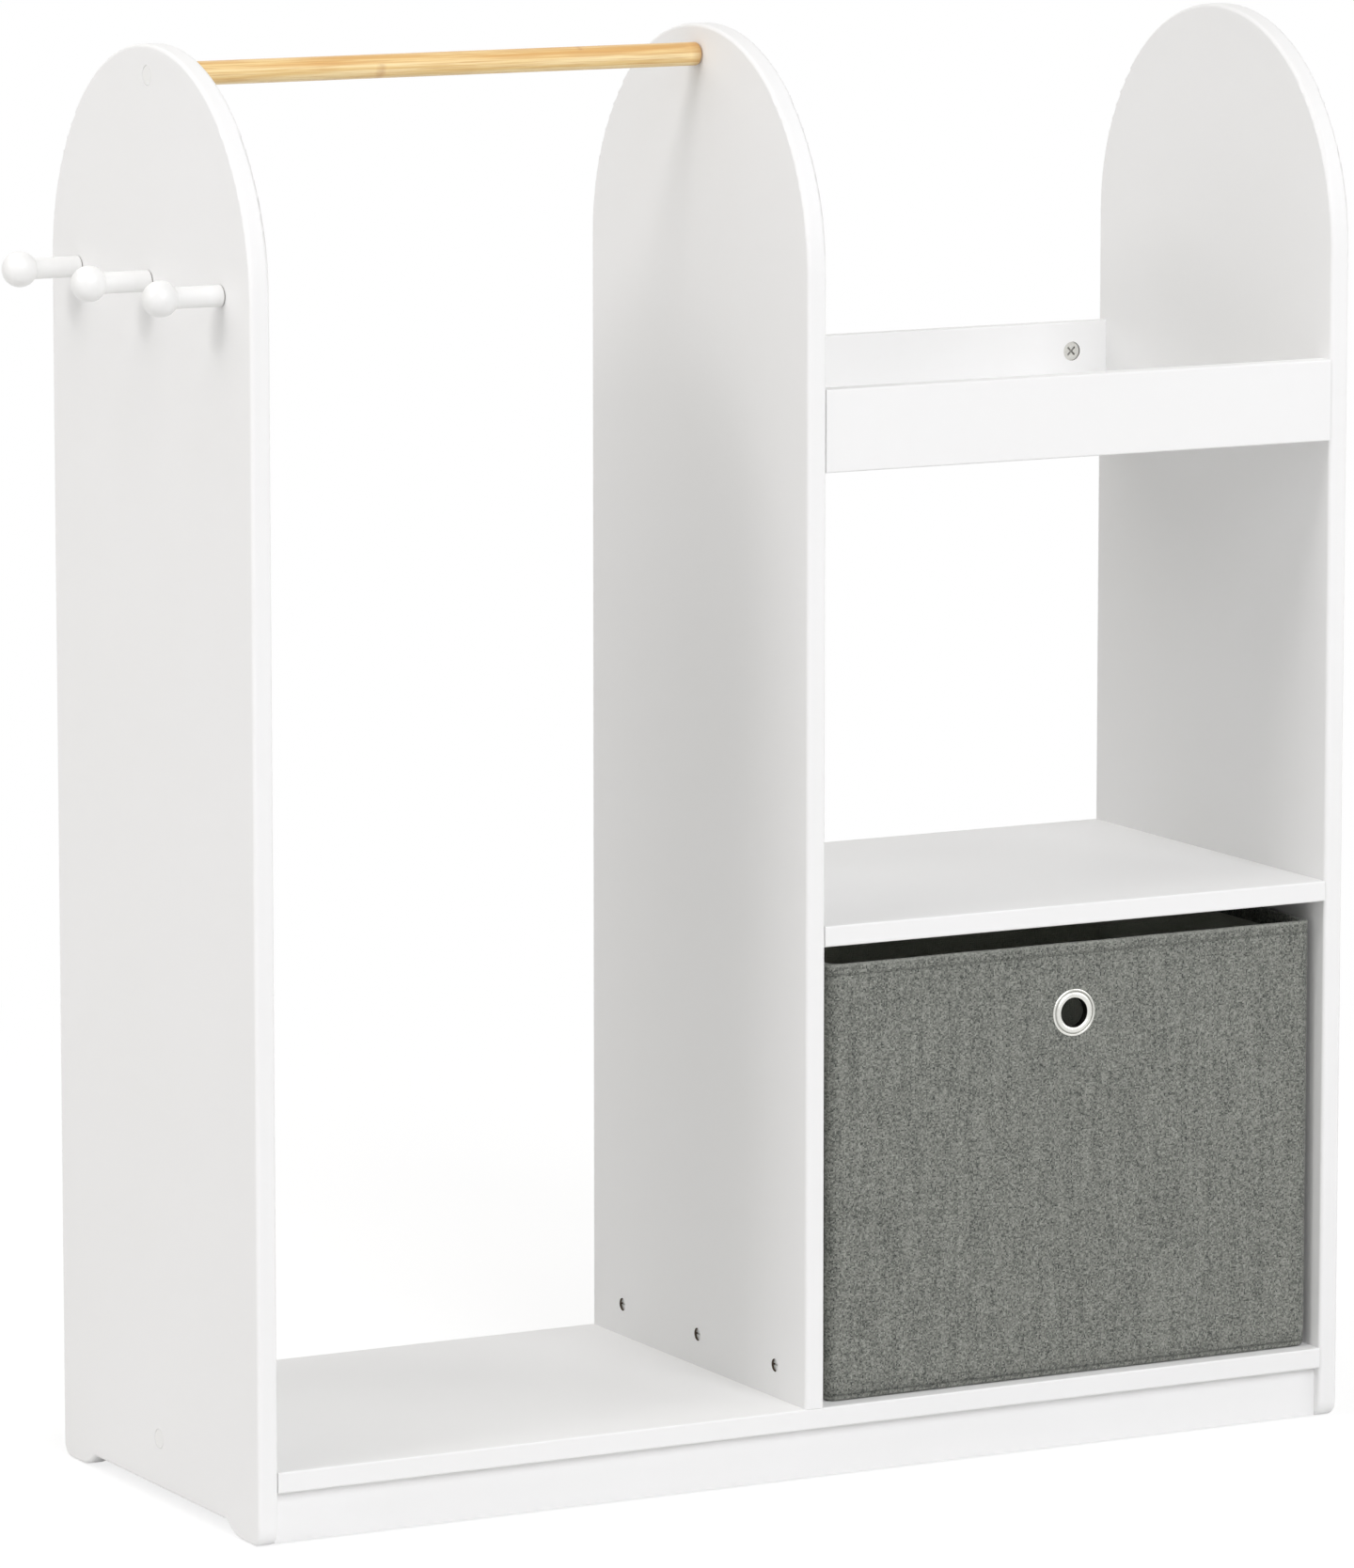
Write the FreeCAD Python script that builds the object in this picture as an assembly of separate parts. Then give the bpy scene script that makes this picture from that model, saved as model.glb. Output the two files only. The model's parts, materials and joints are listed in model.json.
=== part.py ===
import FreeCAD, Part
import math
import os

# Open wardrobe for children, in white board: a hanging bay with a bamboo rod on the left, a shelf bay with a
# top tray and a fabric box on the right, and three coat pegs on the left side.
# Millimetres, +Z up. The front faces -Y.
# The origin is on the floor, under the middle of the width and the depth.

Vector = FreeCAD.Vector
RIGHT = Vector(1, 0, 0)
LEFT = Vector(-1, 0, 0)
BACK = Vector(0, 1, 0)
FRONT = Vector(0, -1, 0)
UP = Vector(0, 0, 1)
DOWN = Vector(0, 0, -1)

# Upright panels and boards
panel_depth = 350.0
panel_height = 1100.0
board_thickness = 16.0
bay_width = 445.0
panel_arris = 3.0
board_arris = 1.5

# Feet of the side panels: a flat, then a double curve up to the relief cut
foot_corner_radius = 12.0
foot_flat_end = 32.0
foot_curve_length = 28.0
foot_upper_radius = 8.0
foot_relief_height = 10.0

# Heights of the levels, from the floor up
plinth_floor_gap = 1.0
plinth_height = 39.0
box_bay_height = 356.0
upper_bay_height = 345.0
apron_height = 63.0

# Plinths and back rail
front_plinth_setback = 8.0
rear_plinth_setback = 20.0
back_rail_thickness = 12.0

# Hanging rod
rod_diameter = 18.0
rod_drop = 23.0
rod_end_rounding = 3.0

# Coat pegs
peg_length = 62.0
peg_ball_diameter = 27.0
peg_shank_diameter = 16.0
peg_base_chamfer = 0.8
peg_drop = 175.0
peg_edge_distance = 50.0
peg_screw_diameter = 4.0
peg_screw_depth = 26.0
peg_screw_head_diameter = 8.0
peg_screw_head_height = 3.0

# Fittings shared by the boards
fit_clearance = 0.1
end_clearance = 0.5
fixing_edge_distance = 50.0
top_shelf_edge_distance = 42.0
dowel_diameter = 8.0
dowel_length = 30.0
dowel_panel_depth = 11.0
dowel_chamfer = 0.8
rail_dowel_diameter = 6.0
apron_dowel_inset = 82.5
plinth_dowel_inset = 153.0

# Screws under flush cover caps
screw_diameter = 5.0
screw_depth = 38.0
screw_head_diameter = 9.0
screw_head_height = 3.0
screw_socket_width = 4.0
screw_socket_depth = 2.0
cap_diameter = 15.0
cap_thickness = 2.0
cap_chamfer = 0.5

# Bolts and barrel nuts that hold the middle panel
bolt_diameter = 6.0
bolt_head_diameter = 12.0
bolt_head_height = 3.0
bolt_tip = 9.0
nut_diameter = 10.0
nut_length = 11.0
nut_recess = 2.0
nut_height = 25.0
nut_slot_width = 1.6
nut_slot_depth = 1.2

# Cam locks and their dowels
cam_diameter = 15.0
cam_setback = 32.0
cam_floor = 2.5
cam_recess = 1.2
cam_cross_length = 9.0
cam_cross_width = 1.6
cam_cross_depth = 1.5
cam_cross_turn = 45.0
cam_dowel_diameter = 6.0
cam_dowel_neck_diameter = 4.0
cam_dowel_head_length = 3.0
cam_dowel_thread_diameter = 5.0
cam_dowel_thread_length = 11.0

# Fabric box, made to fit its bay with these gaps around it
box_left_gap = 10.5
box_right_gap = 4.5
box_front_gap = 12.0
box_back_gap = 18.0
box_top_gap = 17.0
box_edge_radius = 8.0
box_bottom_radius = 6.0
cover_thickness = 1.2
stiffener_thickness = 2.0
lining_thickness = 0.8
insert_thickness = 3.0
insert_clearance = 3.5
insert_corner_radius = 3.0

# Metal eyelet in the box front
eyelet_hole_diameter = 23.0
eyelet_outer_diameter = 37.5
eyelet_barrel_wall = 1.0
eyelet_drop = 54.0
eyelet_flange_height = 2.0
eyelet_lip_height = 0.9
eyelet_groove_height = 0.6
eyelet_groove_inset = 2.3
eyelet_bead_height = 1.3
eyelet_roll_width = 1.6
eyelet_roll_height = 0.6
eyelet_washer_diameter = 33.0
eyelet_washer_thickness = 1.0

# Places that follow from the sizes
carcass_width = 3 * board_thickness + 2 * bay_width
left_x = (peg_length - carcass_width) / 2
left_inner_x = left_x + board_thickness
middle_x = left_inner_x + bay_width
middle_right_x = middle_x + board_thickness
right_inner_x = middle_right_x + bay_width
right_x = right_inner_x + board_thickness
front_y = -panel_depth / 2
back_y = panel_depth / 2
board_z = plinth_floor_gap + plinth_height
board_top_z = board_z + board_thickness
shelf_z = board_top_z + box_bay_height
top_shelf_z = shelf_z + board_thickness + upper_bay_height
tray_floor_z = top_shelf_z + board_thickness
tray_top_z = top_shelf_z + apron_height
rod_z = panel_height - rod_drop
peg_z = panel_height - peg_drop
peg_y = panel_depth / 2 - peg_edge_distance
fixing_y = panel_depth / 2 - fixing_edge_distance
box_x = middle_right_x + box_left_gap
box_y = front_y + box_front_gap
box_width = bay_width - box_left_gap - box_right_gap
box_depth = panel_depth - box_front_gap - box_back_gap
box_rim_z = shelf_z - box_top_gap
box_wall = cover_thickness + stiffener_thickness + lining_thickness

# How closely an edge's measured place must match when edges are picked out
match_tolerance = 0.01

# Each node's solids, and the holes to be bored in each board
solids = {}
bores = {}


def add(node, solid):
    solids.setdefault(node, []).append(solid)


def bore(node, cutter):
    bores.setdefault(node, []).append(cutter)


def cylinder(start, direction, length, diameter):
    return Part.makeCylinder(diameter / 2, length, start, direction)


def board(x, y, z):
    """A flat board from three (low, high) pairs."""
    size = [high - low for low, high in (x, y, z)]
    return Part.makeBox(*size, Vector(x[0], y[0], z[0]))


def long_edges(shape, y, z):
    """The edges of a board that run along X at this y and z."""
    found = []
    for edge in shape.Edges:
        middle = edge.CenterOfMass
        distance = math.hypot(middle.y - y, middle.z - z)
        if edge.BoundBox.XLength > board_thickness and distance < match_tolerance:
            found.append(edge)
    return found


def softened(shape, places):
    """A board with small arrises on its long edges at these (y, z) places."""
    edges = []
    for y, z in places:
        edges += long_edges(shape, y, z)
    return shape.makeFillet(board_arris, edges)


# Upright panels

def line(start, end):
    return Part.LineSegment(start, end).toShape()


def arc(start, through, end):
    return Part.Arc(start, through, end).toShape()


def arch_edges(x, foot_z):
    """Front edge, half-round top and back edge of a panel, from foot_z up and down again."""
    spring_z = panel_height - panel_depth / 2
    front_spring = Vector(x, front_y, spring_z)
    back_spring = Vector(x, back_y, spring_z)
    crown = Vector(x, 0, panel_height)
    return [
        line(Vector(x, front_y, foot_z), front_spring),
        arc(front_spring, crown, back_spring),
        line(back_spring, Vector(x, back_y, foot_z)),
    ]


def foot_edges(x, edge_y, inward):
    """The underside of one foot, from the panel's upright edge to the relief cut."""
    turn = 2 * math.atan2(foot_relief_height, foot_curve_length)
    lower_radius = foot_curve_length / math.sin(turn) - foot_upper_radius
    relief_start = foot_flat_end + foot_curve_length

    def at(distance, height):
        return Vector(x, edge_y + inward * distance, height)

    def lower(angle):
        return at(foot_flat_end + lower_radius * math.sin(angle), lower_radius * (1 - math.cos(angle)))

    def upper(angle):
        return at(relief_start - foot_upper_radius * math.sin(angle),
                  foot_relief_height - foot_upper_radius * (1 - math.cos(angle)))

    corner = foot_corner_radius
    corner_middle = corner * (1 - math.sqrt(0.5))
    return [
        arc(at(0, corner), at(corner_middle, corner_middle), at(corner, 0)),
        line(at(corner, 0), at(foot_flat_end, 0)),
        arc(lower(0), lower(turn / 2), lower(turn)),
        arc(upper(turn), upper(turn / 2), upper(0)),
    ]


def panel_from(x, edges):
    face = Part.Face(Part.Wire(Part.__sortEdges__(edges)))
    return face.extrude(RIGHT * board_thickness)


def side_panel(x):
    relief_start = foot_flat_end + foot_curve_length
    edges = arch_edges(x, foot_corner_radius)
    edges += foot_edges(x, front_y, 1)
    edges += foot_edges(x, back_y, -1)
    edges.append(line(Vector(x, front_y + relief_start, foot_relief_height),
                      Vector(x, back_y - relief_start, foot_relief_height)))
    panel = panel_from(x, edges)
    outline = [edge for edge in panel.Edges if edge.BoundBox.XLength < match_tolerance]
    return panel.makeFillet(panel_arris, outline)


def standing_panel(x):
    edges = arch_edges(x, board_top_z)
    edges.append(line(Vector(x, front_y, board_top_z), Vector(x, back_y, board_top_z)))
    panel = panel_from(x, edges)
    outline = []
    for edge in panel.Edges:
        if edge.BoundBox.XLength < match_tolerance and edge.BoundBox.ZMax > board_top_z + match_tolerance:
            outline.append(edge)
    return panel.makeFillet(panel_arris, outline)


add("left_side_panel", side_panel(left_x))
add("middle_panel", standing_panel(middle_x))
add("right_side_panel", side_panel(right_inner_x))

# Boards between the panels
whole_width = (left_inner_x, right_inner_x)
right_bay = (middle_right_x, right_inner_x)
board_level = (board_z, board_top_z)
shelf_level = (shelf_z, shelf_z + board_thickness)
top_shelf_level = (top_shelf_z, tray_floor_z)
plinth_level = (plinth_floor_gap, board_z)
front_plinth_y = (front_y + front_plinth_setback, front_y + front_plinth_setback + board_thickness)
rear_plinth_y = (back_y - rear_plinth_setback - board_thickness, back_y - rear_plinth_setback)
apron_back_y = front_y + board_thickness
back_rail_front_y = back_y - back_rail_thickness

bottom_board = board(whole_width, (front_y, back_y), board_level)
add("bottom_board", softened(bottom_board, [(y, z) for y in (front_y, back_y) for z in board_level]))
add("front_plinth", board(whole_width, front_plinth_y, plinth_level))
add("rear_plinth", board(whole_width, rear_plinth_y, plinth_level))

shelf = board(right_bay, (front_y, back_y), shelf_level)
add("shelf", softened(shelf, [(y, z) for y in (front_y, back_y) for z in shelf_level]))

top_shelf = board(right_bay, (apron_back_y, back_y), top_shelf_level)
add("top_shelf", softened(top_shelf, [(back_y, top_shelf_z)]))

apron = board(right_bay, (front_y, apron_back_y), (top_shelf_z, tray_top_z))
apron_edges = [(front_y, top_shelf_z), (front_y, tray_top_z), (apron_back_y, tray_top_z)]
add("top_front_apron", softened(apron, apron_edges))

back_rail = board(right_bay, (back_rail_front_y, back_y), (tray_floor_z, tray_top_z))
add("top_back_rail", softened(back_rail, [(back_rail_front_y, tray_top_z), (back_y, tray_top_z)]))

# Hanging rod
rod = cylinder(Vector(left_inner_x, 0, rod_z), RIGHT, bay_width, rod_diameter)
rod_ends = [edge for edge in rod.Edges if edge.BoundBox.XLength < match_tolerance]
add("hanging_rod", rod.makeFillet(rod_end_rounding, rod_ends))


# Coat pegs, each held by a screw from inside the panel

def peg(y):
    """A shank and a ball, turned in one piece about the peg's own axis."""
    shank = peg_shank_diameter / 2
    ball = peg_ball_diameter / 2
    ball_centre = peg_length - ball
    neck = ball_centre - math.sqrt(ball ** 2 - shank ** 2)

    def at(distance, radius):
        return Vector(left_x - distance, y + radius, peg_z)

    corners = [at(peg_length, 0), at(0, 0), at(0, shank - peg_base_chamfer), at(peg_base_chamfer, shank),
               at(neck, shank)]
    edges = [line(start, end) for start, end in zip(corners, corners[1:])]
    edges.append(arc(corners[-1], at(ball_centre, ball), corners[0]))
    return Part.Face(Part.Wire(edges)).revolve(corners[1], LEFT, 360)


def peg_screw(y, clearance, tip_clearance):
    """A countersunk screw through the left panel into the peg, or its hole if clearances are given."""
    start = Vector(left_inner_x, y, peg_z)
    shank = cylinder(start, LEFT, board_thickness + peg_screw_depth + tip_clearance,
                     peg_screw_diameter + 2 * clearance)
    head = Part.makeCone(peg_screw_head_diameter / 2 + clearance, peg_screw_diameter / 2 + clearance,
                         peg_screw_head_height, start, LEFT)
    return head.fuse(shank).removeSplitter()


for name, y in (("front", -peg_y), ("middle", 0), ("rear", peg_y)):
    hole = peg_screw(y, fit_clearance, end_clearance)
    add("coat_peg_" + name, peg(y))
    add("coat_peg_screws", peg_screw(y, 0, 0))
    bore("coat_peg_" + name, hole)
    bore("left_side_panel", hole)


# Screws under cover caps

def capped_screw(screws, caps, seat, direction, outer_node, inner_node):
    """A screw that runs from a panel's outer face into the piece behind, sunk under a flush cap."""
    head_seat = seat + direction * cap_thickness
    shank_length = screw_depth + board_thickness - cap_thickness
    head = cylinder(head_seat, direction, screw_head_height, screw_head_diameter)
    shank = cylinder(head_seat, direction, shank_length, screw_diameter)
    socket = cylinder(head_seat, direction, screw_socket_depth, screw_socket_width)
    add(screws, head.fuse(shank).removeSplitter().cut(socket))
    cap = cylinder(seat, direction, cap_thickness, cap_diameter)
    rim = [edge for edge in cap.Edges if (edge.CenterOfMass - seat).Length < 0.001]
    add(caps, cap.makeChamfer(cap_chamfer, rim))
    cap_hole = cylinder(seat, direction, cap_thickness, cap_diameter + 2 * fit_clearance)
    head_hole = cylinder(head_seat, direction, screw_head_height, screw_head_diameter + 2 * fit_clearance)
    shank_hole = cylinder(head_seat, direction, shank_length + end_clearance,
                          screw_diameter + 2 * fit_clearance)
    for cutter in (cap_hole, head_hole, shank_hole):
        bore(outer_node, cutter)
    bore(inner_node, shank_hole)


board_middle_z = board_z + board_thickness / 2
rod_fittings = ("hanging_rod_screws", "hanging_rod_caps")
board_fittings = ("bottom_board_screws", "bottom_board_caps")
capped_screw(*rod_fittings, Vector(left_x, 0, rod_z), RIGHT, "left_side_panel", "hanging_rod")
capped_screw(*rod_fittings, Vector(middle_right_x, 0, rod_z), LEFT, "middle_panel", "hanging_rod")
capped_screw(*board_fittings, Vector(left_x, 0, board_middle_z), RIGHT, "left_side_panel", "bottom_board")
capped_screw(*board_fittings, Vector(right_x, 0, board_middle_z), LEFT, "right_side_panel", "bottom_board")


# Wooden dowels

def dowel(node, seat, direction, near_node, far_node, diameter=dowel_diameter):
    """A dowel across a joint at seat: a fixed depth into the far piece, the rest in the near piece."""
    near_depth = dowel_length - dowel_panel_depth
    start = seat - direction * near_depth
    pin = cylinder(start, direction, dowel_length, diameter)
    ends = [edge for edge in pin.Edges if edge.Closed]
    add(node, pin.makeChamfer(dowel_chamfer, ends))
    hole = cylinder(start - direction * end_clearance, direction, dowel_length + 2 * end_clearance,
                    diameter + 2 * fit_clearance)
    bore(near_node, hole)
    bore(far_node, hole)


def end_dowels(node, near_node, x_range, far_nodes, y, z):
    """One dowel at each end of a board, into the panels that it stands between."""
    dowel(node, Vector(x_range[0], y, z), LEFT, near_node, far_nodes[0])
    dowel(node, Vector(x_range[1], y, z), RIGHT, near_node, far_nodes[1])


outer_panels = ("left_side_panel", "right_side_panel")
bay_panels = ("middle_panel", "right_side_panel")
for dowel_y in (-fixing_y, fixing_y):
    end_dowels("bottom_board_dowels", "bottom_board", whole_width, outer_panels, dowel_y, board_middle_z)

plinth_middle_z = plinth_floor_gap + plinth_height / 2
whole_middle_x = (left_inner_x + right_inner_x) / 2
for plinth, plinth_y in (("front_plinth", front_plinth_y), ("rear_plinth", rear_plinth_y)):
    middle_y = (plinth_y[0] + plinth_y[1]) / 2
    end_dowels(plinth + "_dowels", plinth, whole_width, outer_panels, middle_y, plinth_middle_z)
    for dowel_x in (left_inner_x + plinth_dowel_inset, whole_middle_x, right_inner_x - plinth_dowel_inset):
        dowel(plinth + "_dowels", Vector(dowel_x, middle_y, board_z), UP, plinth, "bottom_board")

shelf_middle_z = shelf_z + board_thickness / 2
top_shelf_middle_z = top_shelf_z + board_thickness / 2
top_shelf_middle_y = (apron_back_y + back_y) / 2
end_dowels("shelf_dowels", "shelf", right_bay, bay_panels, 0, shelf_middle_z)
end_dowels("top_shelf_dowels", "top_shelf", right_bay, bay_panels, top_shelf_middle_y, top_shelf_middle_z)

back_rail_middle_y = (back_rail_front_y + back_y) / 2
for dowel_x in (middle_right_x + apron_dowel_inset, right_inner_x - apron_dowel_inset):
    apron_seat = Vector(dowel_x, apron_back_y, top_shelf_middle_z)
    dowel("apron_dowels", apron_seat, FRONT, "top_shelf", "top_front_apron")
    rail_seat = Vector(dowel_x, back_rail_middle_y, tray_floor_z)
    dowel("back_rail_dowels", rail_seat, DOWN, "top_back_rail", "top_shelf", rail_dowel_diameter)


# Bolts through the bottom board into barrel nuts in the middle panel

def barrel_joint(y):
    middle = middle_x + board_thickness / 2
    start = Vector(middle, y, board_z)
    bolt_length = board_thickness + nut_height + bolt_tip
    head = cylinder(start, UP, bolt_head_height, bolt_head_diameter)
    shank = cylinder(start, UP, bolt_length, bolt_diameter)
    socket = cylinder(start, UP, screw_socket_depth, screw_socket_width)
    add("barrel_bolts", head.fuse(shank).removeSplitter().cut(socket))
    head_hole = cylinder(start, UP, bolt_head_height, bolt_head_diameter + 2 * fit_clearance)
    shank_hole = cylinder(start, UP, bolt_length + end_clearance, bolt_diameter + 2 * fit_clearance)
    bore("bottom_board", head_hole)
    bore("bottom_board", shank_hole)
    bore("middle_panel", shank_hole)

    mouth = Vector(middle_x, y, board_top_z + nut_height)
    nut_face = mouth + RIGHT * nut_recess
    nut = cylinder(nut_face, RIGHT, nut_length, nut_diameter)
    slot = board((nut_face.x, nut_face.x + nut_slot_depth), (y - nut_diameter, y + nut_diameter),
                 (mouth.z - nut_slot_width / 2, mouth.z + nut_slot_width / 2))
    add("barrel_nuts", nut.cut([slot, shank_hole]))
    bore("middle_panel", cylinder(mouth, RIGHT, nut_recess + nut_length, nut_diameter + 2 * fit_clearance))


for nut_y in (-fixing_y, 0, fixing_y):
    barrel_joint(nut_y)


# Cam locks

def cam_cross(face, axis):
    """The cross recess in a cam's face."""
    half = cam_cross_length / 2
    bar = Part.makeBox(cam_cross_length, cam_cross_width, cam_cross_depth,
                       Vector(-half, -cam_cross_width / 2, 0))
    other = bar.copy()
    bar.rotate(Vector(), UP, cam_cross_turn)
    other.rotate(Vector(), UP, cam_cross_turn - 90)
    cross = bar.fuse(other)
    cross.Placement = FreeCAD.Placement(face, FreeCAD.Rotation(UP, axis)).multiply(cross.Placement)
    return cross


def cam_joint(prefix, seat, inward, face_side, thickness, panel_node, board_node):
    """A cam in a board's face that grips a dowel from the panel. The dowel crosses the joint at seat."""
    mouth = seat + inward * cam_setback + face_side * (thickness / 2)
    into_board = face_side * -1
    pocket_depth = thickness - cam_floor
    bore(board_node, cylinder(mouth, into_board, pocket_depth, cam_diameter + 2 * fit_clearance))

    thread = cylinder(seat, inward * -1, cam_dowel_thread_length, cam_dowel_thread_diameter)
    shank_length = cam_setback - cam_diameter / 2
    shank = cylinder(seat, inward, shank_length, cam_dowel_diameter)
    head_start = cam_setback - cam_dowel_head_length / 2
    neck = cylinder(seat, inward, head_start, cam_dowel_neck_diameter)
    head = cylinder(seat + inward * head_start, inward, cam_dowel_head_length, cam_dowel_diameter)
    add(prefix + "_cam_dowels", thread.fuse([shank, neck, head]).removeSplitter())

    wide = cam_dowel_diameter + 2 * fit_clearance
    way_in = cylinder(seat, inward, head_start + cam_dowel_head_length + end_clearance, wide)
    bore(board_node, way_in)
    bore(panel_node, cylinder(seat, inward * -1, cam_dowel_thread_length + end_clearance,
                              cam_dowel_thread_diameter + 2 * fit_clearance))

    face = mouth + into_board * cam_recess
    disc = cylinder(face, into_board, pocket_depth - cam_recess, cam_diameter)
    add(prefix + "_cams", disc.cut([way_in, cam_cross(face, into_board)]))


def cam_pair(prefix, y, z, face_side, thickness, board_node):
    """A cam at each end of a board in the right bay."""
    cam_joint(prefix, Vector(middle_right_x, y, z), RIGHT, face_side, thickness, "middle_panel", board_node)
    cam_joint(prefix, Vector(right_inner_x, y, z), LEFT, face_side, thickness, "right_side_panel", board_node)


for cam_y in (-fixing_y, fixing_y):
    cam_pair("shelf", cam_y, shelf_middle_z, DOWN, board_thickness, "shelf")
for cam_y in (apron_back_y + top_shelf_edge_distance, back_y - top_shelf_edge_distance):
    cam_pair("top_shelf", cam_y, top_shelf_middle_z, DOWN, board_thickness, "top_shelf")
tray_middle_z = (tray_floor_z + tray_top_z) / 2
apron_middle_y = (front_y + apron_back_y) / 2
cam_pair("apron", apron_middle_y, tray_middle_z, BACK, board_thickness, "top_front_apron")
cam_pair("back_rail", back_rail_middle_y, tray_middle_z, FRONT, back_rail_thickness, "top_back_rail")


# Fabric box: cover, stiffener boards, lining, eyelet and loose base insert

def tub(inset, floor_z, top_z, edge_radius, bottom_radius):
    """A closed block with rounded upright edges and a rounded bottom edge, set in from the box's outside."""
    block = board((box_x + inset, box_x + box_width - inset), (box_y + inset, box_y + box_depth - inset),
                  (floor_z, top_z))
    upright = [edge for edge in block.Edges if edge.BoundBox.ZLength > (top_z - floor_z) / 2]
    block = block.makeFillet(edge_radius, upright)
    bottom = [edge for edge in block.Edges if edge.BoundBox.ZMax < floor_z + match_tolerance]
    return block.makeFillet(bottom_radius, bottom)


hem_z = box_rim_z - cover_thickness
lining_inset = cover_thickness + stiffener_thickness
lining_floor_z = board_top_z + cover_thickness
insert_z = lining_floor_z + lining_thickness
lining_bottom_radius = box_bottom_radius - cover_thickness - lining_thickness
above_rim_z = box_rim_z + box_wall

mouth_cut = tub(box_wall, insert_z, above_rim_z, box_edge_radius - box_wall,
                lining_bottom_radius - lining_thickness)
cover_inside = tub(cover_thickness, lining_floor_z, hem_z, box_edge_radius - cover_thickness,
                   box_bottom_radius - cover_thickness)
cover_block = tub(0, board_top_z, box_rim_z, box_edge_radius, box_bottom_radius)
add("box_cover", cover_block.cut([cover_inside, mouth_cut]))
lining_block = tub(lining_inset, lining_floor_z, hem_z, box_edge_radius - lining_inset, lining_bottom_radius)
add("box_lining", lining_block.cut(mouth_cut))

stiffener_level = (board_top_z + box_bottom_radius, hem_z)
stiffener_x = (box_x + box_edge_radius, box_x + box_width - box_edge_radius)
stiffener_y = (box_y + box_edge_radius, box_y + box_depth - box_edge_radius)
stiffener_depths = (cover_thickness, lining_inset)
front_wall_y = [box_y + depth for depth in stiffener_depths]
back_wall_y = [box_y + box_depth - depth for depth in reversed(stiffener_depths)]
left_wall_x = [box_x + depth for depth in stiffener_depths]
right_wall_x = [box_x + box_width - depth for depth in reversed(stiffener_depths)]
add("box_front_stiffener", board(stiffener_x, front_wall_y, stiffener_level))
add("box_back_stiffener", board(stiffener_x, back_wall_y, stiffener_level))
add("box_left_stiffener", board(left_wall_x, stiffener_y, stiffener_level))
add("box_right_stiffener", board(right_wall_x, stiffener_y, stiffener_level))

insert_inset = box_wall + insert_clearance
insert_x = (box_x + insert_inset, box_x + box_width - insert_inset)
insert_y = (box_y + insert_inset, box_y + box_depth - insert_inset)
insert = board(insert_x, insert_y, (insert_z, insert_z + insert_thickness))
insert_corners = [edge for edge in insert.Edges if edge.BoundBox.ZLength > insert_thickness / 2]
add("box_base_insert", insert.makeFillet(insert_corner_radius, insert_corners))


def eyelet_place(shape):
    shape.translate(Vector(box_x + box_width / 2, box_y, box_rim_z - eyelet_drop))
    return shape


def ring(edges):
    """A solid ring from a closed outline of (radius, depth) edges, turned about the eyelet's axis."""
    face = Part.Face(Part.Wire(edges))
    return eyelet_place(face.revolve(Vector(), BACK, 360))


def eyelet_ring():
    hole = eyelet_hole_diameter / 2
    barrel = hole + eyelet_barrel_wall
    rim = eyelet_outer_diameter / 2
    groove = rim - eyelet_groove_inset
    washer_back = box_wall + eyelet_washer_thickness
    roll_back = washer_back + eyelet_roll_height

    def at(radius, depth):
        return Vector(radius, depth, 0)

    lip = at(hole, -eyelet_lip_height)
    groove_point = at(groove, -eyelet_groove_height)
    roll = barrel + eyelet_roll_width
    corners = [at(rim, 0), at(barrel, 0), at(barrel, washer_back), at(roll, washer_back), at(roll, roll_back),
               at(hole, roll_back), lip]
    edges = [arc(lip, at((hole + groove) / 2, -eyelet_flange_height), groove_point),
             arc(groove_point, at((groove + rim) / 2, -eyelet_bead_height), corners[0])]
    for start, end in zip(corners, corners[1:]):
        edges.append(line(start, end))
    return ring(edges)


barrel_hole_diameter = eyelet_hole_diameter + 2 * eyelet_barrel_wall + 2 * fit_clearance
wall_hole = eyelet_place(cylinder(Vector(), BACK, box_wall, barrel_hole_diameter))
for wall_node in ("box_cover", "box_front_stiffener", "box_lining"):
    bore(wall_node, wall_hole)
washer_seat = Vector(0, box_wall, 0)
washer = cylinder(washer_seat, BACK, eyelet_washer_thickness, eyelet_washer_diameter)
washer_hole = cylinder(washer_seat, BACK, eyelet_washer_thickness, barrel_hole_diameter)
add("box_eyelet_ring", eyelet_ring())
add("box_eyelet_washer", eyelet_place(washer.cut(washer_hole)))

# Bore the boards and write one file per node
os.makedirs("parts", exist_ok=True)
for node, pieces in solids.items():
    cutters = bores.get(node)
    if cutters:
        pieces = [piece.cut(cutters) for piece in pieces]
    shape = pieces[0] if len(pieces) == 1 else Part.makeCompound(pieces)
    shape.exportStep("parts/" + node + ".step")
    box = shape.optimalBoundingBox()
    print(f"{node:24s} {len(shape.Solids)} solids, {shape.Volume / 1000:9.2f} cm3, valid {shape.isValid()}, "
          f"z {box.ZMin:7.1f} to {box.ZMax:7.1f}")
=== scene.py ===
# %% [markdown]
# # An open wardrobe for children
# The wardrobe is white board with a bamboo hanging rod, three turned pegs and a grey fabric box in its
# right bay. The boards, the rod and the fittings come from the CAD model as they are, and this lesson
# gives them their finishes. The fabric box is sewn here, because cloth needs hems, seams and a weave that
# a plain solid doesn't have.

# %% Load the wardrobe
import json
import math

import bmesh
import bpy
from mathutils import Matrix, Vector, noise

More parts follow.
